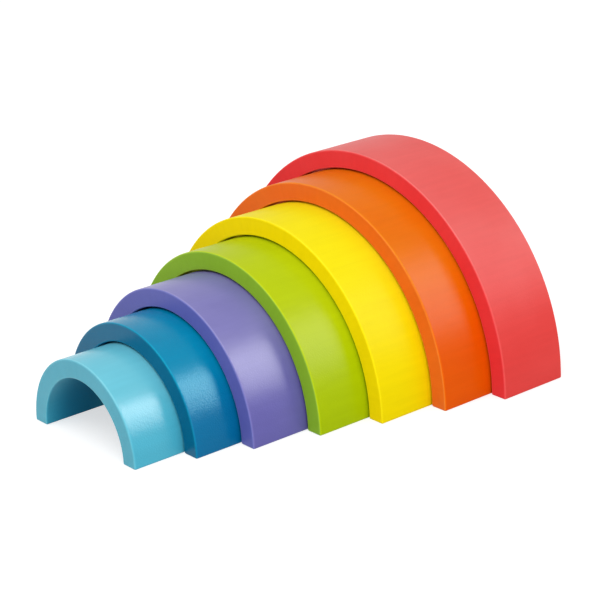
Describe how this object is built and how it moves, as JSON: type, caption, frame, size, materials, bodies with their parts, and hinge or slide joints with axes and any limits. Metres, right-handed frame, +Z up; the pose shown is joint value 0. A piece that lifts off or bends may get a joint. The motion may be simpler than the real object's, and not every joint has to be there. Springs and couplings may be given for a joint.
{
  "type": "rainbow stacker",
  "caption": "Wooden rainbow stacking toy: painted half-ring arches in rainbow colours, each nesting under the next larger, shown pulled out of each other like a telescope.",
  "frame": {"origin": "on the floor, under the middle of the stack's box in the pulled-out pose", "axes": "+X across the arches, -Y the way the smaller arches are pulled out, +Z up"},
  "size_m": [0.2586, 0.2714, 0.1303],
  "materials": {
    "red_paint": "satin",
    "orange_paint": "satin",
    "yellow_paint": "satin",
    "green_paint": "satin",
    "purple_paint": "satin",
    "blue_paint": "satin",
    "light_blue_paint": "satin"
  },
  "bodies": {
    "red": {"red_arch": "red_paint"},
    "orange": {"orange_arch": "orange_paint"},
    "yellow": {"yellow_arch": "yellow_paint"},
    "green": {"green_arch": "green_paint"},
    "purple": {"purple_arch": "purple_paint"},
    "blue": {"blue_arch": "blue_paint"},
    "light_blue": {"light_blue_arch": "light_blue_paint"}
  },
  "joints": [
    {"name": "orange_slide", "type": "slide", "parent": "red", "child": "orange", "axis": [0, -1, 0], "range_m": [-0.038, 0.017]},
    {"name": "yellow_slide", "type": "slide", "parent": "red", "child": "yellow", "axis": [0, -1, 0], "range_m": [-0.0775, 0.0325]},
    {"name": "green_slide", "type": "slide", "parent": "red", "child": "green", "axis": [0, -1, 0], "range_m": [-0.115, 0.05]},
    {"name": "purple_slide", "type": "slide", "parent": "red", "child": "purple", "axis": [0, -1, 0], "range_m": [-0.155, 0.065]},
    {"name": "blue_slide", "type": "slide", "parent": "red", "child": "blue", "axis": [0, -1, 0], "range_m": [-0.187, 0.088]},
    {"name": "light_blue_slide", "type": "slide", "parent": "red", "child": "light_blue", "axis": [0, -1, 0], "range_m": [-0.2215, 0.1085]}
  ]
}
